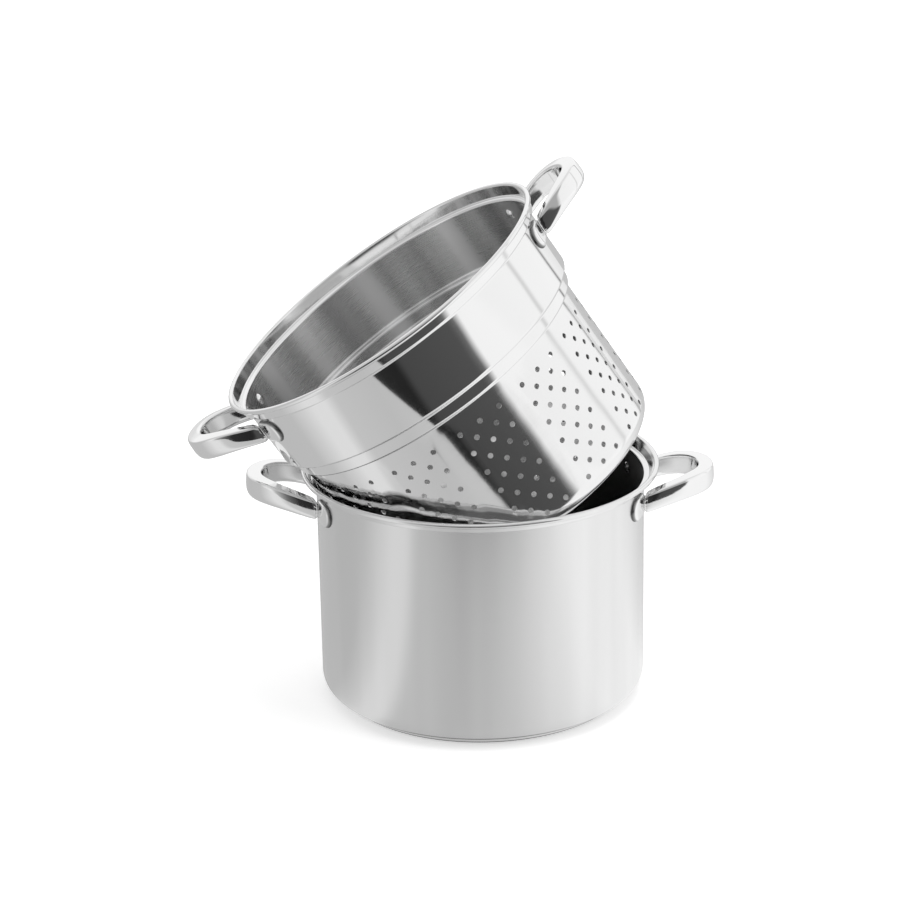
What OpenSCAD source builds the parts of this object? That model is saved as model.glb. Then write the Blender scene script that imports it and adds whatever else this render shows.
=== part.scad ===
// Pasta pot with a lift-out strainer insert, leaning in the pot's mouth.
// Origin at the centre of the pot's underside, +Z up, pot handles along X.

/* [Pot] */
// Outer diameter of the pot's body
pot_d = 240; // [200:1:300]
// Height of the pot from the table to the top of its rim
pot_h = 177; // [140:1:240]
// Outer radius of the pot's bottom corner
pot_corner_r = 13; // [8:0.5:30]
// Thickness of the drawn sheet of both vessels
sheet_t = 0.7; // [0.6:0.1:1.2]

/* [Base disc] */
// Thickness of the aluminium core under the pot
core_t = 3.6; // [2:0.2:6]
// Thickness of the steel cap that wraps the core
cap_t = 0.6; // [0.4:0.1:1]
// Outer radius of the cap's lower edge
cap_edge_r = 2.4; // [1.5:0.1:3]

/* [Rim of both vessels] */
// Outer diameter over the rolled lip
rim_d = 262; // [250:1:330]
// Radius of the rolled lip on the middle of its sheet
lip_r = 1.6; // [1.2:0.1:2.4]
// Depth of the pot's lid ledge below its rim
pot_ledge_drop = 8; // [6:0.5:14]
// Slope of the pot's rim wall above its ledge, from level
pot_rim_slope = 63; // [55:1:80]
// Depth of the insert's lid ledge below its rim
insert_ledge_drop = 10; // [8:0.5:14]
// Slope of the insert's rim wall above its ledge, from level
insert_rim_slope = 87; // [70:1:89]
// Radius of the bend from the pot's wall to its ledge
ledge_bend_r = 1.4; // [1.2:0.1:2]
// Radius of the bend from the insert's wall to its ledge
insert_bend_r = 2.6; // [1.2:0.1:3]
// Radius of the bend from a ledge up to its rim wall
foot_bend_r = 1; // [0.8:0.1:1.4]

/* [Insert] */
// Full height of the insert
insert_h = 184; // [150:0.5:230]
// Outer diameter of the solid collar
collar_d = 246.8; // [230:0.2:260]
// Outer diameter of the band between the two shoulders
band_d = 238; // [225:0.2:250]
// Outer diameter of the perforated wall
basket_d = 231; // [220:0.2:240]
// Depth of the upper shoulder's end below the insert's rim
shoulder_drop = 61.2; // [50:0.2:80]
// Height from the upper shoulder's end to the lower shoulder's end
shoulder_pitch = 10.2; // [8:0.2:20]
// Slope of both shoulders at their middle, from upright
shoulder_lean = 88; // [45:1:89]
// Outer radius of the insert's bottom corner
insert_corner_r = 14; // [8:0.5:25]

/* [Perforation] */
// Diameter of every drain hole
hole_d = 4; // [2:0.5:6]
// Number of hole groups round the wall
groups = 13; // [8:1:16]
// Columns of holes in a group
group_cols = 5; // [3:2:7]
// Holes in the first column of a group
group_rows = 6; // [3:1:7]
// Angle between neighbouring columns
col_step = 4.15; // [3:0.1:5]
// Height between neighbouring rows of one column
row_step = 16.6; // [12:0.2:20]
// Depth of the top row below the insert's rim
top_row_drop = 84.8; // [78:0.2:95]
// Angle of the first column of the first group
group_start = -95.5; // [-180:0.5:180]
// Rings of holes in the insert's bottom
floor_rings = 5; // [2:1:6]
// Distance between rings in the bottom
ring_step = 17; // [12:0.5:20]

/* [Handles] */
// Reach of a handle's outer face from the axis of its vessel
handle_reach = 171.5; // [165:0.5:200]
// Distance between the middles of a handle's two arms at the wall
arm_gap = 66; // [50:1:90]
// Height of the loop at its outer end
grip_h = 17.5; // [12:0.5:24]
// Thickness of the loop at its outer end
grip_t = 12.5; // [8:0.5:16]
// Height of an arm at the wall
arm_h = 15; // [9:0.5:18]
// Thickness of an arm at the wall
arm_t = 10; // [6:0.5:14]
// Rise of the loop's outer end above its feet
loop_rise = 11.5; // [0:0.5:25]
// Depth of the rivets below the rim
rivet_drop = 24; // [20:0.5:34]
// Fullness of the loop's plan, where 2 is an ellipse
loop_power = 2.2; // [2:0.1:3]
// Squareness of the loop's upper half, where 2 is an ellipse
top_square = 3.6; // [2:0.1:5]
// Squareness of the loop's lower half, where 2 is an ellipse
under_square = 2.4; // [2:0.1:5]

/* [Foot plates and rivets] */
// Angle of the rivets from the handle's middle
rivet_angle = 22; // [18:0.5:28]
// Height of a foot plate
plate_h = 17.5; // [14:0.5:24]
// Thickness of a foot plate
plate_t = 1.6; // [1:0.1:3]
// Length of plate beyond the rivet
plate_end = 8.5; // [6:0.5:12]
// Diameter of a rivet's shank
shank_d = 5; // [3:0.5:6]
// Diameter of a rivet's head inside the vessel
head_d = 8.8; // [6:0.2:12]
// Height of a rivet's head inside the vessel
head_h = 2; // [1:0.1:3]
// Diameter of a rivet's closed end on the plate
tail_d = 7; // [5.5:0.2:10]
// Height of a rivet's closed end on the plate
tail_h = 0.5; // [0.3:0.1:2]

/* [Insert leaning in the pot] */
// Sideways lean of the insert
lean_side = 33.4; // [25:0.1:40]
// Lean of the insert towards the front
lean_front = 2.2; // [0:0.1:4]
// Turn of the insert about its own axis
insert_turn = 10.6; // [-30:0.1:30]
// Depth below the insert's rim at the height of the pot's rim
lean_depth = 73.8; // [73:0.2:110]
// Depth below the insert's rim where its axis crosses the pot's middle plane
lean_pivot_depth = 130; // [120:1:170]
// Gap between the insert and the pot's rim it leans on
lean_gap = 0.3; // [0.2:0.1:1]

/* [Hidden] */
$fn = 96;

fit_gap = 0.1;
weld_gap = 0.25;
half_t = sheet_t / 2;
pot_r = pot_d / 2;
floor_z = cap_t + core_t + 2 * fit_gap;
flat_r = pot_r - pot_corner_r;
lip_x = rim_d / 2 - lip_r - half_t;
lip_roll = 250;
collar_r = collar_d / 2;
hole_reach = 8;
loop_steps = 28;
ring_points = 16;

// Points of an arc about c from angle a to angle b
function arc(c, r, a, b, steps) =
    [for (i = [0 : steps]) let (t = a + (b - a) * i / steps) c + r * [cos(t), sin(t)]];

// Direction at point i of a path, averaged over its two segments
function unit(v) = v / norm(v);
function heading(p, i) =
    i == 0 ? unit(p[1] - p[0]) :
    i == len(p) - 1 ? unit(p[i] - p[i - 1]) :
    unit(unit(p[i] - p[i - 1]) + unit(p[i + 1] - p[i]));
function shifted(p, s) =
    [for (i = [0 : len(p) - 1]) let (h = heading(p, i)) p[i] + s * [-h[1], h[0]]];
function reversed(p) = [for (i = [len(p) - 1 : -1 : 0]) p[i]];
function spaced(p) = [for (i = [0 : len(p) - 1]) if (i == 0 || norm(p[i] - p[i - 1]) > 0.02) p[i]];

// Sheet of the rim: bend to the ledge, ledge, sloped rim wall and rolled lip
function rim_path(wall_r, rim_z, drop, slope, bend_r) =
    let (ledge_z = rim_z - drop - half_t,
         lip_c = [lip_x, rim_z - lip_r - half_t],
         lip_start = lip_c + lip_r * [cos(slope + 90), sin(slope + 90)],
         foot_z = ledge_z + foot_bend_r * (1 - cos(slope)),
         foot_x = lip_start[0] - (lip_start[1] - foot_z) / tan(slope),
         foot_c = [foot_x - foot_bend_r * sin(slope), ledge_z + foot_bend_r])
    concat(arc([wall_r + bend_r, ledge_z - bend_r], bend_r, 180, 90, 6),
           arc(foot_c, foot_bend_r, -90, slope - 90, 5),
           arc(lip_c, lip_r, slope + 90, slope + 90 - lip_roll, 14));

// Shoulder that steps the wall outward, going up, between two radii
function shoulder(in_r, out_r, end_z) =
    let (r = (out_r - in_r) / 2 / (1 - cos(shoulder_lean)),
         rise = 2 * r * sin(shoulder_lean))
    concat(arc([in_r + r, end_z], r, 180, 180 - shoulder_lean, 5),
           arc([out_r - r, end_z + rise], r, -shoulder_lean, 0, 5));

// Corner of a drawn vessel, from its flat bottom to its wall
function corner(wall_r, r, bottom_z) =
    arc([wall_r - r, bottom_z + r], r - half_t, -90, 0, 10);

function pot_path() =
    concat([[0, floor_z + half_t]],
           corner(pot_r, pot_corner_r, floor_z),
           rim_path(pot_r - half_t, pot_h, pot_ledge_drop, pot_rim_slope, ledge_bend_r));

function insert_path() =
    concat([[0, half_t]],
           corner(basket_d / 2, insert_corner_r, 0),
           shoulder(basket_d / 2 - half_t, band_d / 2 - half_t, insert_h - shoulder_drop - shoulder_pitch),
           shoulder(band_d / 2 - half_t, collar_r - half_t, insert_h - shoulder_drop),
           rim_path(collar_r - half_t, insert_h, insert_ledge_drop, insert_rim_slope,
                    insert_bend_r));

// Vessel turned from the middle line of its sheet
module turned_sheet(full_path) {
    path = spaced(full_path);
    inner = shifted(path, half_t);
    outer = shifted(path, -half_t);
    axis_inner = [[0, inner[0][1]]];
    axis_outer = [[0, outer[0][1]]];
    rotate_extrude()
        polygon(concat(axis_outer, [for (i = [1 : len(outer) - 1]) outer[i]],
                       reversed([for (i = [1 : len(inner) - 1]) inner[i]]), axis_inner));
}

// Round hole through a wall of radius r, square to it
module radial_hole(r, d) {
    translate([r - hole_reach, 0, 0])
        rotate([0, 90, 0]) cylinder(d = d, h = 2 * hole_reach, $fn = 24);
}

// Places a child at each rivet: side is 0 or 180, end is -1 or 1
module at_rivet(side, end, rim_z) {
    rotate([0, 0, side + end * rivet_angle]) translate([0, 0, rim_z - rivet_drop]) children();
}

module rivet_holes(wall_r, rim_z) {
    for (side = [0, 180]) for (end = [-1, 1])
        at_rivet(side, end, rim_z) radial_hole(wall_r, shank_d + 2 * fit_gap);
}

module pot_shell() {
    color("silver")
        difference() {
            turned_sheet(pot_path());
            rivet_holes(pot_r, pot_h);
        }
}

module base_core() {
    low_z = cap_t + fit_gap;
    core_r = flat_r - cap_t - fit_gap;
    edge_r = max(cap_edge_r - cap_t - fit_gap, 0.2);
    color("lightgray") rotate_extrude()
        polygon(concat([[0, low_z]],
                       arc([core_r - edge_r, low_z + edge_r], edge_r, -90, 0, 6),
                       [[core_r, low_z + core_t], [0, low_z + core_t]]));
}

module base_cap() {
    top_z = floor_z - fit_gap;
    outer = concat([[0, 0]],
                   arc([flat_r - cap_edge_r, cap_edge_r], cap_edge_r, -90, 0, 8),
                   [[flat_r, top_z], [flat_r - cap_t, top_z]]);
    inner = arc([flat_r - cap_edge_r, cap_edge_r], cap_edge_r - cap_t, 0, -90, 8);
    color("gainsboro") rotate_extrude() polygon(concat(outer, inner, [[0, cap_t]]));
}

// Holes of one group: odd columns sit half a row lower and hold one hole less
module hole_group(first_angle) {
    for (c = [0 : group_cols - 1]) {
        odd = c % 2;
        for (k = [0 : group_rows - 1 - odd])
            rotate([0, 0, first_angle + c * col_step])
                translate([0, 0, insert_h - top_row_drop - (k + odd / 2) * row_step])
                    radial_hole(basket_d / 2, hole_d);
    }
}

module floor_holes() {
    for (ring = [0 : floor_rings]) {
        count = max(1, 6 * ring);
        for (i = [0 : count - 1])
            rotate([0, 0, i * 360 / count])
                translate([ring * ring_step, 0, -1]) cylinder(d = hole_d, h = sheet_t + 2, $fn = 24);
    }
}

module insert_body() {
    difference() {
        turned_sheet(insert_path());
        rivet_holes(collar_r, insert_h);
        for (g = [0 : groups - 1]) hole_group(group_start + g * 360 / groups);
        floor_holes();
    }
}

// Loop of a handle on the +X side, swept round its plan: flat above, rounder below
function power(v, p) = sign(v) * pow(abs(v), p);
function loop_ring(wall_r, rim_z, a) =
    let (start_x = sqrt(pow(wall_r, 2) - pow(arm_gap / 2, 2)),
         tip_x = handle_reach - grip_t / 2,
         out = power(cos(a), 2 / loop_power),
         side = power(sin(a), 2 / loop_power),
         c = [start_x + (tip_x - start_x) * out, arm_gap / 2 * side,
              rim_z - rivet_drop + loop_rise * sin(90 * out)],
         nx = power(cos(a), 2 - 2 / loop_power) / (tip_x - start_x),
         ny = power(sin(a), 2 - 2 / loop_power) / (arm_gap / 2),
         n = unit([nx, ny]),
         t = arm_t + (grip_t - arm_t) * out,
         h = arm_h + (grip_h - arm_h) * out)
    [for (i = [0 : ring_points - 1])
        let (s = 360 * i / ring_points,
             square = sin(s) > 0 ? top_square : under_square,
             across = t / 2 * power(cos(s), 2 / square),
             up = h / 2 * power(sin(s), 2 / square))
        [c[0] + n[0] * across, c[1] + n[1] * across, c[2] + up]];

module handle_loop(wall_r, rim_z) {
    face_r = wall_r + fit_gap + plate_t + weld_gap;
    angles = [for (i = [0 : loop_steps]) -90 + 180 * i / loop_steps];
    rings = [for (a = angles) loop_ring(face_r, rim_z, a)];
    onto_plate = [for (i = [0 : loop_steps])
        [for (p = rings[i]) i == 0 || i == loop_steps
            ? [sqrt(pow(face_r, 2) - pow(p[1], 2)), p[1], p[2]] : p]];
    points = [for (ring = onto_plate) each ring];
    m = ring_points;
    sides = [for (i = [0 : loop_steps - 1]) for (j = [0 : m - 1])
        let (a = i * m + j, b = i * m + (j + 1) % m) each [[a, b + m, b], [a, a + m, b + m]]];
    first_cap = [for (j = [1 : m - 2]) [0, j, j + 1]];
    last = loop_steps * m;
    last_cap = [for (j = [1 : m - 2]) [last, last + j + 1, last + j]];
    polyhedron(points, concat(sides, first_cap, last_cap));
}

// Curved plate that carries one arm and one rivet, following the wall
module foot_plate(wall_r, rim_z, side, end) {
    in_r = wall_r + fit_gap;
    rivet_y = wall_r * sin(rivet_angle);
    inner_y = arm_gap / 2 - arm_t / 2 - 1.5;
    outer_y = rivet_y + plate_end;
    round_r = plate_h / 2;
    rotate([0, 0, side]) scale([1, end, 1]) translate([0, 0, rim_z - rivet_drop])
        difference() {
            intersection() {
                difference() {
                    translate([0, 0, -plate_h / 2]) cylinder(r = in_r + plate_t, h = plate_h);
                    translate([0, 0, -plate_h]) cylinder(r = in_r, h = 2 * plate_h);
                }
                rotate([90, 0, 90]) linear_extrude(height = 2 * wall_r) union() {
                    translate([inner_y, -plate_h / 2]) square([outer_y - round_r - inner_y, plate_h]);
                    translate([outer_y - round_r, 0]) circle(r = round_r);
                }
            }
            rotate([0, 0, rivet_angle]) radial_hole(wall_r, shank_d + 2 * fit_gap);
        }
}

// Rivet along +X: domed head inside the wall, shank, and closed end on the plate
module rivet(wall_r) {
    wall_in_r = wall_r - sheet_t;
    seat_x = sqrt(pow(wall_in_r, 2) - pow(head_d / 2, 2)) - fit_gap / 2;
    plate_x = wall_r + fit_gap + plate_t + fit_gap / 2;
    dome = function (r, h) (r * r + h * h) / (2 * h);
    head_r = dome(head_d / 2, head_h);
    tail_r = dome(tail_d / 2, tail_h);
    head_a = asin(head_d / 2 / head_r);
    tail_a = asin(tail_d / 2 / tail_r);
    rotate([0, 90, 0]) rotate_extrude()
        polygon(concat(arc([0, seat_x - head_h + head_r], head_r, -90, -90 + head_a, 8),
                       [[shank_d / 2, seat_x], [shank_d / 2, plate_x]],
                       arc([0, plate_x + tail_h - tail_r], tail_r, 90 - tail_a, 90, 8)));
}

// Place of the leaning insert's rim centre when its left side stands at x
lean_up = [-cos(lean_front) * sin(lean_side), -sin(lean_front), cos(lean_front) * cos(lean_side)];
function rim_centre(x) =
    let (across = [cos(lean_side), 0, sin(lean_side)],
         at_rim = [x, 0, pot_h] + lean_up * lean_depth + collar_r * across)
    [at_rim[0], lean_up[1] * lean_pivot_depth, at_rim[2]];

// Smallest gap between the leaning wall and a round edge of the pot's rim
function edge_gap(x, edge_x, edge_z, edge_r) =
    min([for (a = [120 : 2 : 240])
        let (p = [edge_x * cos(a), edge_x * sin(a), edge_z],
             v = p - rim_centre(x),
             off = norm(v - (v * lean_up) * lean_up))
        off - basket_d / 2 - edge_r]);
function rim_gap(x) =
    min(edge_gap(x, lip_x, pot_h - lip_r - half_t, lip_r + half_t),
        edge_gap(x, pot_r - half_t + ledge_bend_r, pot_h - pot_ledge_drop - half_t - ledge_bend_r,
                 ledge_bend_r + half_t));
function seated_x(x, turns) =
    turns == 0 ? x : seated_x(x - (rim_gap(x) - lean_gap) / cos(lean_side), turns - 1);
insert_x = seated_x(-lip_x, 8);

// Moves a child from the insert's own frame to its place in the pot
module in_place() {
    translate(rim_centre(insert_x)) rotate([lean_front, -lean_side, 0])
        rotate([0, 0, insert_turn]) translate([0, 0, -insert_h]) children();
}

module handle(wall_r, rim_z, side) {
    color("gainsboro") rotate([0, 0, side]) handle_loop(wall_r, rim_z);
}

module plate(wall_r, rim_z, side, end) {
    color("gainsboro") foot_plate(wall_r, rim_z, side, end);
}

module rivet_at(wall_r, rim_z, side, end) {
    color("white") at_rivet(side, end, rim_z) rivet(wall_r);
}

module insert_shell() {
    color("silver") in_place() insert_body();
}

pot_shell();
base_core();
base_cap();
handle(pot_r, pot_h, 180);  // pot_handle_left
handle(pot_r, pot_h, 0);  // pot_handle_right
plate(pot_r, pot_h, 180, 1);  // pot_plate_left_front
plate(pot_r, pot_h, 180, -1);  // pot_plate_left_rear
plate(pot_r, pot_h, 0, -1);  // pot_plate_right_front
plate(pot_r, pot_h, 0, 1);  // pot_plate_right_rear
rivet_at(pot_r, pot_h, 180, 1);  // pot_rivet_left_front
rivet_at(pot_r, pot_h, 180, -1);  // pot_rivet_left_rear
rivet_at(pot_r, pot_h, 0, -1);  // pot_rivet_right_front
rivet_at(pot_r, pot_h, 0, 1);  // pot_rivet_right_rear
insert_shell();
in_place() handle(collar_r, insert_h, 180);  // insert_handle_left
in_place() handle(collar_r, insert_h, 0);  // insert_handle_right
in_place() plate(collar_r, insert_h, 180, 1);  // insert_plate_left_front
in_place() plate(collar_r, insert_h, 180, -1);  // insert_plate_left_rear
in_place() plate(collar_r, insert_h, 0, -1);  // insert_plate_right_front
in_place() plate(collar_r, insert_h, 0, 1);  // insert_plate_right_rear
in_place() rivet_at(collar_r, insert_h, 180, 1);  // insert_rivet_left_front
in_place() rivet_at(collar_r, insert_h, 180, -1);  // insert_rivet_left_rear
in_place() rivet_at(collar_r, insert_h, 0, -1);  // insert_rivet_right_front
in_place() rivet_at(collar_r, insert_h, 0, 1);  // insert_rivet_right_rear
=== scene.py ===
import math
import bmesh
import bpy
from mathutils import Matrix, Vector


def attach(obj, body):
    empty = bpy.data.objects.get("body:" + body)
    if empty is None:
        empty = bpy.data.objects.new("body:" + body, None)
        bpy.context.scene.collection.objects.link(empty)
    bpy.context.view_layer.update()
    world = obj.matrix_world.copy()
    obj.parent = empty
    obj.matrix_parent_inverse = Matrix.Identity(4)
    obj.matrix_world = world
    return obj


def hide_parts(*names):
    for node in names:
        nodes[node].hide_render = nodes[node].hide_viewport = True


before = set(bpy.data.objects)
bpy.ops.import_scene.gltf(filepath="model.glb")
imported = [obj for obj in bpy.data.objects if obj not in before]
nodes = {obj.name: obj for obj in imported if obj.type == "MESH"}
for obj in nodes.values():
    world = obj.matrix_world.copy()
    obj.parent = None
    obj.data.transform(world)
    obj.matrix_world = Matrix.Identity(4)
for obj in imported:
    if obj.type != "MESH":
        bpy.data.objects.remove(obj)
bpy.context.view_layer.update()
scene = bpy.context.scene
scene.view_settings.view_transform = "Standard"


# Camera: a long lens a little above the rims, turned one degree, as the
# product was photographed.
looks_right = Vector((0.9998, -0.00671, -0.01886))
looks_along = Vector((0.0, 0.94216, -0.33516))
looks_up = looks_right.cross(looks_along)
camera = bpy.data.objects.new("camera", bpy.data.cameras.new("camera"))
scene.collection.objects.link(camera)
camera.data.sensor_width = 36.0
camera.data.lens = 110.4
camera.data.clip_start = 0.05
camera.data.clip_end = 60.0
camera.location = (-0.0215, -1.8980, 0.8607)
camera.rotation_mode = "QUATERNION"
camera.rotation_quaternion = Matrix((looks_right, looks_up, -looks_along)).transposed().to_quaternion()
scene.camera = camera


# Table: a white laminate top whose front edge lies just before the pots, so
# that polished steel shows the dark room beyond it. Window light pools on it.
def new_material(name):
    material = bpy.data.materials.new(name)
    material.use_nodes = True
    material.node_tree.nodes.clear()
    return material, material.node_tree


def add_node(tree, kind, inputs=None, **settings):
    """A node whose inputs are linked where a socket is given and set where a value is."""
    node = tree.nodes.new(kind)
    for key, value in settings.items():
        setattr(node, key, value)
    for key, value in (inputs or {}).items():
        if isinstance(value, bpy.types.NodeSocket):
            tree.links.new(value, node.inputs[key])
        else:
            node.inputs[key].default_value = value
    return node


def maths(tree, operation, a, b=0.0):
    return add_node(tree, "ShaderNodeMath", {0: a, 1: b}, operation=operation).outputs[0]


def vector_maths(tree, operation, a, b, output="Vector"):
    return add_node(tree, "ShaderNodeVectorMath", {0: a, 1: b}, operation=operation).outputs[output]


def between(tree, value, low, high, to_low=0.0, to_high=1.0):
    """Goes softly from to_low to to_high while value goes from low to high."""
    return add_node(tree, "ShaderNodeMapRange",
                    {"Value": value, "From Min": low, "From Max": high, "To Min": to_low, "To Max": to_high},
                    interpolation_type="SMOOTHSTEP").outputs[0]


def blend(tree, share, a, b):
    return add_node(tree, "ShaderNodeMix", {"Factor": share, "A": a, "B": b}, data_type="FLOAT").outputs[0]


def mix_shaders(tree, share, a, b):
    return add_node(tree, "ShaderNodeMixShader", {0: share, 1: a.outputs[0], 2: b.outputs[0]})


def round_about(tree, x, y, levels):
    """A level that changes with the direction round the pot, in degrees from the viewer."""
    turn = maths(tree, "ARCTAN2", x, maths(tree, "MULTIPLY", y, -1.0))
    share = add_node(tree, "ShaderNodeMapRange", {"Value": turn, "From Min": -math.pi, "From Max": math.pi})
    ramp = add_node(tree, "ShaderNodeValToRGB", {"Fac": share.outputs[0]})
    stops = ramp.color_ramp.elements
    for i, (angle, level) in enumerate(levels):
        place = (angle + 180) / 360
        stop = stops[i] if i < 2 else stops.new(place)
        stop.position = place
        stop.color = (level, level, level, 1)
    return add_node(tree, "ShaderNodeRGBToBW", {0: ramp.outputs[0]}).outputs[0]


table_front, table_back, table_side = -0.55, 6.0, 4.0
under_pot = 0.0004
near_glow, far_glow = 0.55, 1.0
glow_from, glow_to = 0.3, 1.2
near_shade, shade_from, shade_to = 0.96, 0.108, 0.135
pool_levels = [(-180, 0.52), (-140, 0.57), (-112, 0.56), (-82, 0.58), (-68, 0.72), (-58, 0.84),
               (-48, 0.84), (-40, 0.63), (-14, 0.58), (8, 0.65), (22, 0.79), (36, 0.92), (48, 1.0),
               (58, 1.06), (100, 1.04), (125, 0.84), (150, 0.64), (180, 0.52)]

table_mesh = bpy.data.meshes.new("table_top")
table_bm = bmesh.new()
half_depth = (table_back - table_front) / 2
bmesh.ops.create_grid(table_bm, x_segments=2, y_segments=2, size=1.0)
bmesh.ops.scale(table_bm, verts=table_bm.verts, vec=(table_side, half_depth, 1.0))
bmesh.ops.translate(table_bm, verts=table_bm.verts, vec=(0, table_front + half_depth, -under_pot))
table_bm.to_mesh(table_mesh)
table_bm.free()
table = bpy.data.objects.new("table_top", table_mesh)
scene.collection.objects.link(table)

laminate, tree = new_material("white_laminate")
grain = add_node(tree, "ShaderNodeTexNoise", {"Scale": 18.0, "Detail": 3.0})
speckle = add_node(tree, "ShaderNodeMapRange", {"Value": grain.outputs[0], "To Min": 0.80, "To Max": 0.84})
surface = add_node(tree, "ShaderNodeBsdfDiffuse", {"Color": speckle.outputs[0]})
rays = add_node(tree, "ShaderNodeLightPath")
place = add_node(tree, "ShaderNodeSeparateXYZ", {0: add_node(tree, "ShaderNodeTexCoord").outputs["Object"]})
flat = add_node(tree, "ShaderNodeCombineXYZ", {0: place.outputs["X"], 1: place.outputs["Y"]}).outputs[0]
away = vector_maths(tree, "LENGTH", flat, (0, 0, 0), "Value")
glow = maths(tree, "MULTIPLY", rays.outputs["Is Camera Ray"],
             between(tree, away, glow_from, glow_to, near_glow, far_glow))
lift = add_node(tree, "ShaderNodeEmission", {"Strength": glow})
to_eye = add_node(tree, "ShaderNodeAddShader", {0: surface.outputs[0], 1: lift.outputs[0]})
pools = round_about(tree, place.outputs["X"], place.outputs["Y"], pool_levels)
foot_shade = between(tree, away, shade_from, shade_to, near_shade, 1.0)
in_steel = add_node(tree, "ShaderNodeEmission", {"Strength": maths(tree, "MULTIPLY", pools, foot_shade)})
top = mix_shaders(tree, rays.outputs["Is Glossy Ray"], to_eye, in_steel)
add_node(tree, "ShaderNodeOutputMaterial", {"Surface": top.outputs[0]})
table_mesh.materials.append(laminate)


# Studio: a white backdrop for the eye, and for the steel a room with a wide
# soft window at the right, a narrow one at the left and a dark side in front.
low_levels = [(-180, 0.80), (-150, 0.80), (-125, 0.65), (-100, 0.55), (-80, 0.55), (-68, 0.85),
              (-54, 0.92), (-45, 0.50), (-28, 0.16), (-14, 0.03), (9, 0.02), (13, 0.07), (44, 0.09),
              (48, 0.16), (52, 1.05), (100, 1.10), (103, 0.80), (106, 1.10), (136, 1.05), (138, 0.12),
              (140, 1.0), (160, 0.85), (180, 0.80)]
high_levels = [(-180, 1.05), (-140, 1.0), (-110, 0.70), (-80, 0.60), (-62, 0.80), (-40, 0.55),
               (0, 0.45), (41, 0.45), (49, 1.0), (100, 1.05), (103, 0.70), (106, 1.05), (136, 1.05),
               (138, 0.12), (140, 1.05), (180, 1.05)]
low_walls_to, high_walls_from = math.radians(5), math.radians(9)
walls_to, ceiling_from = math.radians(40), math.radians(65)
ceiling_level = 0.85
fill_level = 0.45
backdrop_level = 1.0
lamps = {"right_window": ((1.6, -0.7, 1.1), 1.4, 14.0),
         "left_window": ((-1.5, -1.1, 1.2), 0.9, 5.0),
         "overhead": ((0.1, 0.2, 2.1), 1.4, 12.0)}
lamp_aim = Vector((0, 0, 0.2))

room = bpy.data.worlds.new("studio")
scene.world = room
room.use_nodes = True
tree = room.node_tree
tree.nodes.clear()
way = add_node(tree, "ShaderNodeSeparateXYZ", {0: add_node(tree, "ShaderNodeTexCoord").outputs["Generated"]})
low_walls = round_about(tree, way.outputs["X"], way.outputs["Y"], low_levels)
high_walls = round_about(tree, way.outputs["X"], way.outputs["Y"], high_levels)
rise = maths(tree, "ARCSINE", way.outputs["Z"])
walls = blend(tree, between(tree, rise, low_walls_to, high_walls_from), low_walls, high_walls)
level = blend(tree, between(tree, rise, walls_to, ceiling_from), walls, ceiling_level)
rays = add_node(tree, "ShaderNodeLightPath")
white = (1, 1, 1, 1)
reflected = add_node(tree, "ShaderNodeBackground", {"Color": white, "Strength": level})
plain = add_node(tree, "ShaderNodeBackground", {"Color": white, "Strength": fill_level})
backdrop = add_node(tree, "ShaderNodeBackground", {"Color": white, "Strength": backdrop_level})
lit = mix_shaders(tree, rays.outputs["Is Glossy Ray"], plain, reflected)
shown = mix_shaders(tree, rays.outputs["Is Camera Ray"], lit, backdrop)
add_node(tree, "ShaderNodeOutputWorld", {"Surface": shown.outputs[0]})

for name, (spot, width, power) in lamps.items():
    lamp = bpy.data.lights.new(name, "AREA")
    lamp.size = width
    lamp.energy = power
    holder = bpy.data.objects.new(name, lamp)
    scene.collection.objects.link(holder)
    holder.location = spot
    holder.rotation_mode = "QUATERNION"
    holder.rotation_quaternion = (lamp_aim - Vector(spot)).to_track_quat("-Z", "Y")
    holder.visible_camera = False
    holder.visible_glossy = False


# Pot body: drawn from one disc of stainless sheet, satin outside and inside,
# with a bright rolled rim and a ledge for the lid.
def smooth_copy(node_name, piece_name, crease=40.0, places_per_metre=2e5, same_way=0.9999):
    """A copy of a solid whose small steps along its bends are shaded as one curve."""
    mesh = nodes[node_name].data.copy()
    exact = [Vector(c.vector) for c in mesh.corner_normals]
    places = {}
    for loop in mesh.loops:
        key = tuple(round(c * places_per_metre) for c in mesh.vertices[loop.vertex_index].co)
        places.setdefault(key, []).append(loop.index)
    least = math.cos(math.radians(crease))
    shaded = [None] * len(exact)
    for group in places.values():
        kinds = []
        for i in group:
            if not any(exact[i].dot(k) > same_way for k in kinds):
                kinds.append(exact[i])
        for i in group:
            total = Vector((0, 0, 0))
            for k in kinds:
                if exact[i].dot(k) > least:
                    total += k
            shaded[i] = total.normalized()
    mesh.name = piece_name
    mesh.materials.clear()
    for face in mesh.polygons:
        face.use_smooth = True
    mesh.normals_split_custom_set(shaded)
    piece = bpy.data.objects.new(piece_name, mesh)
    scene.collection.objects.link(piece)
    return piece


def axis_fields(tree, centre, up):
    """Height along a vessel's axis, distance from it, angle round it, and the spoke from it."""
    place = add_node(tree, "ShaderNodeTexCoord").outputs["Object"]
    out = vector_maths(tree, "SUBTRACT", place, centre)
    height = vector_maths(tree, "DOT_PRODUCT", out, up, "Value")
    along = add_node(tree, "ShaderNodeVectorMath", {0: up, "Scale": height}, operation="SCALE").outputs[0]
    spoke = vector_maths(tree, "SUBTRACT", out, along)
    side = Vector(up).cross(Vector((0, 1, 0))).normalized() * -1.0
    other = Vector(up).cross(side)
    angle = maths(tree, "ARCTAN2", vector_maths(tree, "DOT_PRODUCT", spoke, other, "Value"),
                  vector_maths(tree, "DOT_PRODUCT", spoke, side, "Value"))
    return {"place": place, "height": height, "spoke": spoke, "angle": angle,
            "distance": vector_maths(tree, "LENGTH", spoke, (0, 0, 0), "Value")}


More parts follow.
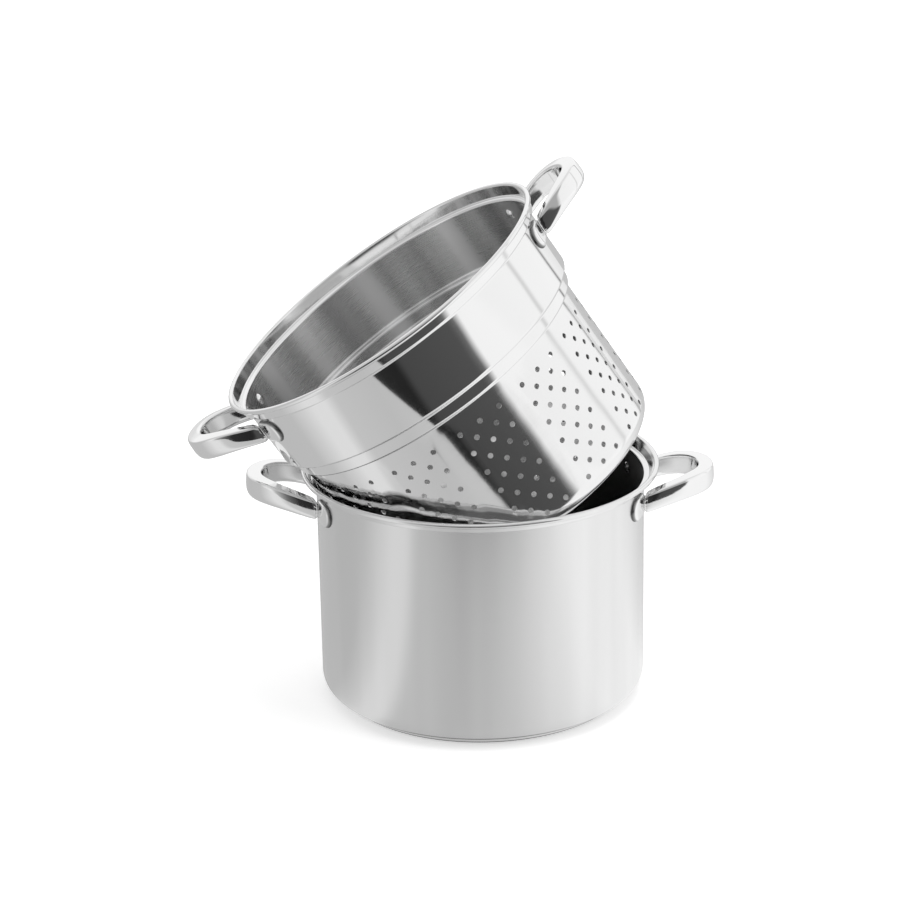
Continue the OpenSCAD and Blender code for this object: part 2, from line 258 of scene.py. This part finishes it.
def brush_marks(tree, fields, fine):
    """Noise drawn out round the vessel, as a belt or pad leaves it."""
    across = maths(tree, "ADD", fields["height"], fields["distance"])
    lines = add_node(tree, "ShaderNodeCombineXYZ", {0: maths(tree, "MULTIPLY", fields["angle"], 3.0),
                                                    1: maths(tree, "MULTIPLY", across, fine),
                                                    2: maths(tree, "MULTIPLY", fields["distance"], 40.0)})
    return add_node(tree, "ShaderNodeTexNoise", {"Vector": lines.outputs[0], "Scale": 1.0, "Detail": 2.0,
                                                 "Roughness": 0.6}).outputs[0]


def streaks(tree, fields, count):
    """Soft bands that run up the wall, where the polish varies round the vessel."""
    bands = add_node(tree, "ShaderNodeCombineXYZ", {0: maths(tree, "MULTIPLY", fields["angle"], count),
                                                    1: maths(tree, "MULTIPLY", fields["height"], 1.5)})
    return add_node(tree, "ShaderNodeTexNoise",
                    {"Vector": bands.outputs[0], "Scale": 1.0, "Detail": 1.5}).outputs[0]


def noise_at(tree, place, scale, detail=1.0):
    return add_node(tree, "ShaderNodeTexNoise",
                    {"Vector": place, "Scale": scale, "Detail": detail}).outputs[0]


def steel(tree, tone, roughness, stretch=0.0, tangent=None, normal=None):
    """Bare metal. Where it is brushed, tangent is the direction in which the marks spread light."""
    colour = add_node(tree, "ShaderNodeCombineColor", {0: tone, 1: tone, 2: tone}).outputs[0]
    skin = add_node(tree, "ShaderNodeBsdfPrincipled", {"Metallic": 1.0, "Base Color": colour,
                                                       "Roughness": roughness, "Anisotropic": stretch})
    if tangent is not None:
        across = add_node(tree, "ShaderNodeVectorMath", {0: tangent}, operation="NORMALIZE").outputs[0]
        tree.links.new(across, skin.inputs["Tangent"])
    if normal is not None:
        tree.links.new(normal, skin.inputs["Normal"])
    add_node(tree, "ShaderNodeOutputMaterial", {"Surface": skin.outputs[0]})


pot_foot, pot_up = (0, 0, 0), (0, 0, 1)
noise_low, noise_high = 0.3, 0.7
# Heights over which the painted shade in the crevice above the base, the rim's bead and the bead's crown
# begin.
crevice_shade_from, crevice_shade_to = 0.0066, 0.0090
rim_from, rim_to = 0.1672, 0.1680
crown_from, crown_to = 0.1732, 0.1742
# The inside and ledge tones are painted shade: the pot's inside, and the rim's inner side below its crown,
# are darker than the outside.
crevice_shade_tone, inside_shade_tone, ledge_shade_tone, rim_tone = 0.12, 0.40, 0.30, 0.79
rim_rough = 0.11
brush_stretch = 0.8

satin, tree = new_material("satin_steel")
fields = axis_fields(tree, pot_foot, pot_up)
marks = brush_marks(tree, fields, 2600.0)
rim_share = between(tree, fields["height"], rim_from, rim_to)
normal = add_node(tree, "ShaderNodeNewGeometry").outputs["Normal"]
outward = vector_maths(tree, "NORMALIZE", fields["spoke"], (0, 0, 0))
# The outside faces outward or down, the inside inward or up.
out_or_under = vector_maths(tree, "SUBTRACT", outward, pot_up)
outside = between(tree, vector_maths(tree, "DOT_PRODUCT", normal, out_or_under, "Value"), -0.2, 0.2)
inside_rough = between(tree, marks, noise_low, noise_high, 0.34, 0.42)
outside_rough = between(tree, marks, noise_low, noise_high, 0.225, 0.24)
wall_rough = blend(tree, outside, inside_rough, outside_rough)
roughness = blend(tree, rim_share, wall_rough, rim_rough)
outside_tone = between(tree, streaks(tree, fields, 5.0), noise_low, noise_high, 0.77, 0.81)
# Painted shade: the wall's foot, in the crevice above the base cap, is darkened in its tone.
painted_crevice_shade = between(tree, fields["height"], crevice_shade_from, crevice_shade_to, crevice_shade_tone, 1.0)
upward = add_node(tree, "ShaderNodeSeparateXYZ", {0: normal}).outputs["Z"]
# Painted shade: the rim's inner side below its crown takes the ledge's dark tone.
ledge_shade = maths(tree, "MULTIPLY", between(tree, upward, 0.65, 0.8, 1.0, 0.0),
              between(tree, fields["height"], crown_from, crown_to, 1.0, 0.0))
inner = blend(tree, rim_share, inside_shade_tone, blend(tree, ledge_shade, rim_tone, ledge_shade_tone))
tone = blend(tree, outside, inner, maths(tree, "MULTIPLY", outside_tone, painted_crevice_shade))
bump = add_node(tree, "ShaderNodeBump", {"Height": marks, "Strength": 0.02, "Distance": 0.00001})
steel(tree, tone, roughness, brush_stretch, pot_up, bump.outputs[0])

pot_body = smooth_copy("pot_shell", "pot_body")
pot_body.data.materials.append(satin)
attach(pot_body, "pot")
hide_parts("pot_shell")


# Base: an aluminium disc under the pot in a polished steel cap, pressed and
# brazed on, which shows as a bright foot with a fine joint above it, where
# painted shade darkens the crevice; painted shade also darkens the foot's
# bottom edge where it stands on the table.
under_foot_shade_from, under_foot_shade_to = 0.0009, 0.0018
under_foot_shade_tone, foot_tone, core_tone = 0.08, 0.80, 0.75
cap_stretch = 0.5


def put_on(node_name, material):
    nodes[node_name].data.materials.clear()
    nodes[node_name].data.materials.append(material)


cap_steel, tree = new_material("cap_steel")
fields = axis_fields(tree, pot_foot, pot_up)
marks = brush_marks(tree, fields, 1800.0)
# Painted shade: the cap's bottom edge, where it stands on the table, is darkened in its tone.
tone = between(tree, fields["height"], under_foot_shade_from, under_foot_shade_to, under_foot_shade_tone, foot_tone)
steel(tree, tone, between(tree, marks, noise_low, noise_high, 0.12, 0.16), cap_stretch, pot_up)
put_on("base_cap", cap_steel)

core_metal, tree = new_material("core_aluminium")
cast = add_node(tree, "ShaderNodeTexNoise", {"Scale": 900.0, "Detail": 3.0}).outputs[0]
steel(tree, core_tone, between(tree, cast, noise_low, noise_high, 0.40, 0.55))
put_on("base_core", core_metal)


# Pot handles: loops pressed from thick stainless, flat above and rounder
# below, mirror polished, with feet that stand on the foot plates.
pot = {"body": "pot", "wall_r": 0.120, "rim_z": 0.177, "standing": Matrix.Identity(4)}
turned = {"left": 180, "right": 0}
plate_t, plate_h, rivet_drop = 0.0016, 0.0175, 0.024
wall_gap, weld_gap = 0.0001, 0.00025
bar_thick, bar_tall, bar_swell = 0.010, 0.015, 0.0025
arm = 0.033
reach = 0.1715 - (bar_thick + bar_swell) / 2
arch = 0.0115
plan_square, flat_square, round_square = 2.2, 8.0, 2.8
taper = 0.13
bright_tone = 0.86

bright, tree = new_material("bright_steel")
place = add_node(tree, "ShaderNodeTexCoord").outputs["Object"]
scuffs = noise_at(tree, place, 700.0, 3.0)
bump = add_node(tree, "ShaderNodeBump", {"Height": noise_at(tree, place, 60.0, 1.5), "Strength": 0.2,
                                         "Distance": 0.0006})
steel(tree, bright_tone, between(tree, scuffs, 0.3, 0.8, 0.05, 0.09), normal=bump.outputs[0])


def signed_power(value, exponent):
    return math.copysign(abs(value) ** exponent, value)


def join_rings(bm, rings):
    """Bridges each ring to the next and closes the first and the last."""
    for first, second in zip(rings, rings[1:]):
        edges = {e for ring in (first, second) for v in ring for e in v.link_edges
                 if e.other_vert(v) in ring}
        bmesh.ops.bridge_loops(bm, edges=list(edges))
    bmesh.ops.holes_fill(bm, edges=[e for e in bm.edges if e.is_boundary], sides=len(rings[0]))


def finish_piece(bm, vessel, side_name, piece_name, node_name, material):
    """Turns a piece to its side, stands it with its vessel, parents it to the vessel's body and hides the
    node it replaces.
    """
    turn = Matrix.Rotation(math.radians(turned[side_name]), 3, "Z")
    bmesh.ops.rotate(bm, verts=bm.verts, cent=(0, 0, 0), matrix=turn)
    bmesh.ops.recalc_face_normals(bm, faces=bm.faces)
    bmesh.ops.transform(bm, matrix=vessel["standing"], verts=bm.verts)
    for face in bm.faces:
        face.smooth = True
    mesh = bpy.data.meshes.new(piece_name)
    bm.to_mesh(mesh)
    bm.free()
    mesh.materials.append(material)
    piece = bpy.data.objects.new(piece_name, mesh)
    scene.collection.objects.link(piece)
    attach(piece, vessel["body"])
    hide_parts(node_name)
    return piece


def loop_handle(vessel, side_name, steps=26, around=32):
    """A loop swept in rings from foot to foot, bridged, and smoothed by subdivision."""
    face_r = vessel["wall_r"] + wall_gap + plate_t + weld_gap
    start = math.sqrt(face_r ** 2 - arm ** 2)
    bm = bmesh.new()
    rings = []
    for step in range(steps + 1):
        a = math.radians(-90 + 180 * step / steps)
        out = signed_power(math.cos(a), 2 / plan_square)
        across = signed_power(math.sin(a), 2 / plan_square)
        centre = Vector((start + (reach - start) * out, arm * across,
                         vessel["rim_z"] - rivet_drop + arch * math.sin(math.pi / 2 * out)))
        facing = Vector((signed_power(math.cos(a), 2 - 2 / plan_square) / (reach - start),
                         signed_power(math.sin(a), 2 - 2 / plan_square) / arm, 0)).normalized()
        thick = bar_thick + bar_swell * out
        tall = bar_tall + bar_swell * out
        ring = bmesh.ops.create_circle(bm, segments=around, radius=1.0)["verts"]
        for i, vert in enumerate(ring):
            s = 2 * math.pi * i / around
            square = flat_square if math.sin(s) > 0 else round_square
            rise = signed_power(math.sin(s), 2 / square)
            half_thick = thick / 2 * (1 - taper * max(0.0, rise) ** 2)
            vert.co = (centre + facing * (half_thick * signed_power(math.cos(s), 2 / square))
                       + Vector((0, 0, tall / 2 * rise)))
            if step in (0, steps):
                vert.co.x = math.sqrt(face_r ** 2 - vert.co.y ** 2)
        rings.append(ring)
    join_rings(bm, rings)
    name = vessel["body"]
    piece = finish_piece(bm, vessel, side_name, f"{name}_loop_{side_name}",
                         f"{name}_handle_{side_name}", bright)
    smooth = piece.modifiers.new("smooth", "SUBSURF")
    smooth.levels = smooth.render_levels = 2


loop_handle(pot, "left")
loop_handle(pot, "right")


# Pot foot plates and rivets: tongues with rounded edges that spread a loop's
# pull over the thin wall, rougher along the edge that a polishing wheel can't
# reach and darkened there with painted shade, each with a rivet whose head shows inside the pot.
tongue_near, tongue_turn, tongue_past = 0.0265, math.radians(22), 0.0085
# Each ring: inset from the edge, rise off the wall, and share of polish and light, where 0 is rough and
# darkened with painted shade.
tongue_rings = [(0, 0, 0), (0.0001, 0.0006, 0), (0.0005, 0.0014, 0.2), (0.0010, 0.0021, 1),
                (0.0017, 0.0026, 1), (0.0028, 0.00285, 1), (0.0046, 0.0030, 1), (0.0065, 0.00305, 1)]
edge_shade_tone, edge_rough, crown_rough = 0.16, 0.30, 0.07

tongue_steel, tree = new_material("tongue_steel")
place = add_node(tree, "ShaderNodeTexCoord").outputs["Object"]
polish_and_light = add_node(tree, "ShaderNodeAttribute", attribute_name="polish_and_light").outputs["Fac"]
bump = add_node(tree, "ShaderNodeBump", {"Height": noise_at(tree, place, 90.0, 1.5), "Strength": 0.2,
                                         "Distance": 0.0005})
# Painted shade: the tongue's edge takes a dark tone. It is rougher there too.
steel(tree, blend(tree, polish_and_light, edge_shade_tone, bright_tone), blend(tree, polish_and_light, edge_rough, crown_rough),
      normal=bump.outputs[0])


def tongue_outline(half, near, far, r, turns=16, straights=4):
    """Two half circles of radius r about the centres of the ends, and the straights that join them."""
    straight = far - near - 2 * half
    line = []
    for i in range(turns + 1):
        a = math.radians(-90 + 180 * i / turns)
        line.append((far - half + r * math.cos(a), r * math.sin(a)))
    for i in range(1, straights):
        line.append((far - half - straight * i / straights, r))
    for i in range(turns + 1):
        a = math.radians(90 + 180 * i / turns)
        line.append((near + half + r * math.cos(a), r * math.sin(a)))
    for i in range(1, straights):
        line.append((near + half + straight * i / straights, -r))
    return line


def foot_tongue(vessel, side_name, end_name):
    """A round-ended tongue bent to the wall: rings step in from its edge and rise to a soft crown."""
    half = plate_h / 2
    far = vessel["wall_r"] * math.sin(tongue_turn) + tongue_past
    end = -1 if (side_name, end_name) in (("right", "front"), ("left", "rear")) else 1
    bm = bmesh.new()
    polish_and_light_layer = bm.verts.layers.float.new("polish_and_light")
    rings = []
    for inset, rise, polish_and_light_level in tongue_rings:
        line = tongue_outline(half, tongue_near, far, half - inset)
        ring = bmesh.ops.create_circle(bm, segments=len(line), radius=1.0)["verts"]
        radius = vessel["wall_r"] + wall_gap + rise
        for vert, (y, z) in zip(ring, line):
            vert.co = (math.sqrt(radius ** 2 - y ** 2), end * y, vessel["rim_z"] - rivet_drop + z)
            vert[polish_and_light_layer] = polish_and_light_level
        rings.append(ring)
    join_rings(bm, rings)
    name = vessel["body"]
    finish_piece(bm, vessel, side_name, f"{name}_tongue_{side_name}_{end_name}",
                 f"{name}_plate_{side_name}_{end_name}", tongue_steel)


def tongues_and_rivets(vessel):
    for side_name in turned:
        for end_name in ("front", "rear"):
            foot_tongue(vessel, side_name, end_name)
            put_on(f"{vessel['body']}_rivet_{side_name}_{end_name}", bright)


tongues_and_rivets(pot)


# Strainer insert: a drawn stainless vessel, mirror polished outside and
# brushed inside, stepped in twice below its collar and punched with holes.
# It leans in the pot's mouth, to the left and a little to the front.
rim_centre = Vector((-0.0720083, -0.00499042, 0.306496))
lean_left, lean_front, spin = math.radians(-33.4), math.radians(2.2), math.radians(10.6)
tilt = (Matrix.Rotation(lean_left, 4, "Y") @ Matrix.Rotation(lean_front, 4, "X")
        @ Matrix.Rotation(spin, 4, "Z"))
insert_up = tilt.to_3x3() @ Vector((0, 0, 1))
# Heights from the rim down, over which the ledge, the basket's wall and the floor begin.
ledge_from, ledge_to = -0.0130, -0.0120
basket_from, basket_to = -0.078, -0.070
floor_from, floor_to = -0.056, -0.050
mirror_tone = 0.84

mirror, tree = new_material("mirror_steel")
fields = axis_fields(tree, rim_centre, insert_up)
normal = add_node(tree, "ShaderNodeNewGeometry").outputs["Normal"]
outward = vector_maths(tree, "NORMALIZE", fields["spoke"], (0, 0, 0))
faces_out = vector_maths(tree, "DOT_PRODUCT", normal, outward, "Value")
faces_up = vector_maths(tree, "DOT_PRODUCT", normal, insert_up, "Value")
in_wall = between(tree, faces_out, -0.6, -0.4, 1.0, 0.0)
in_floor = maths(tree, "MULTIPLY", between(tree, faces_up, 0.3, 0.5),
                 between(tree, fields["height"], floor_from, floor_to, 1.0, 0.0))
brushed = maths(tree, "MULTIPLY", maths(tree, "MAXIMUM", in_wall, in_floor),
                between(tree, fields["height"], ledge_from, ledge_to, 1.0, 0.0))
marks = brush_marks(tree, fields, 1500.0)
bands = streaks(tree, fields, 3.2)
basket = between(tree, fields["height"], basket_from, basket_to, 1.0, 0.0)
mirror_rough = maths(tree, "ADD", between(tree, marks, 0.2, 0.8, 0.045, 0.075),
                     maths(tree, "MULTIPLY", basket, 0.045))
brush_rough = maths(tree, "ADD", between(tree, marks, noise_low, noise_high, 0.20, 0.26),
                    between(tree, bands, noise_low, noise_high, 0.0, 0.1))
long_waves = maths(tree, "MULTIPLY", noise_at(tree, fields["place"], 20.0), 4.0)
punched_waves = maths(tree, "MULTIPLY", noise_at(tree, fields["place"], 45.0), 1.2)
waves = maths(tree, "ADD", long_waves, maths(tree, "MULTIPLY", basket, punched_waves))
bump = add_node(tree, "ShaderNodeBump", {"Height": blend(tree, brushed, waves, marks), "Strength": 0.10,
                                         "Distance": 0.0006})
tone = blend(tree, brushed, mirror_tone, between(tree, bands, 0.36, 0.64, 0.50, 0.86))
roughness = blend(tree, brushed, mirror_rough, brush_rough)
stretch = maths(tree, "MULTIPLY", brushed, brush_stretch)
steel(tree, tone, roughness, stretch, insert_up, bump.outputs[0])

strainer = smooth_copy("insert_shell", "strainer_body")
strainer.data.materials.append(mirror)
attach(strainer, "insert")
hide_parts("insert_shell")


# Insert handles, foot plates and rivets: the same fittings as the pot's, so
# that the insert lifts out by its own two loops.
insert_h = 0.184
insert = {"body": "insert", "wall_r": 0.1234, "rim_z": insert_h,
          "standing": Matrix.Translation(rim_centre) @ tilt @ Matrix.Translation((0, 0, -insert_h))}
loop_handle(insert, "left")
loop_handle(insert, "right")
tongues_and_rivets(insert)
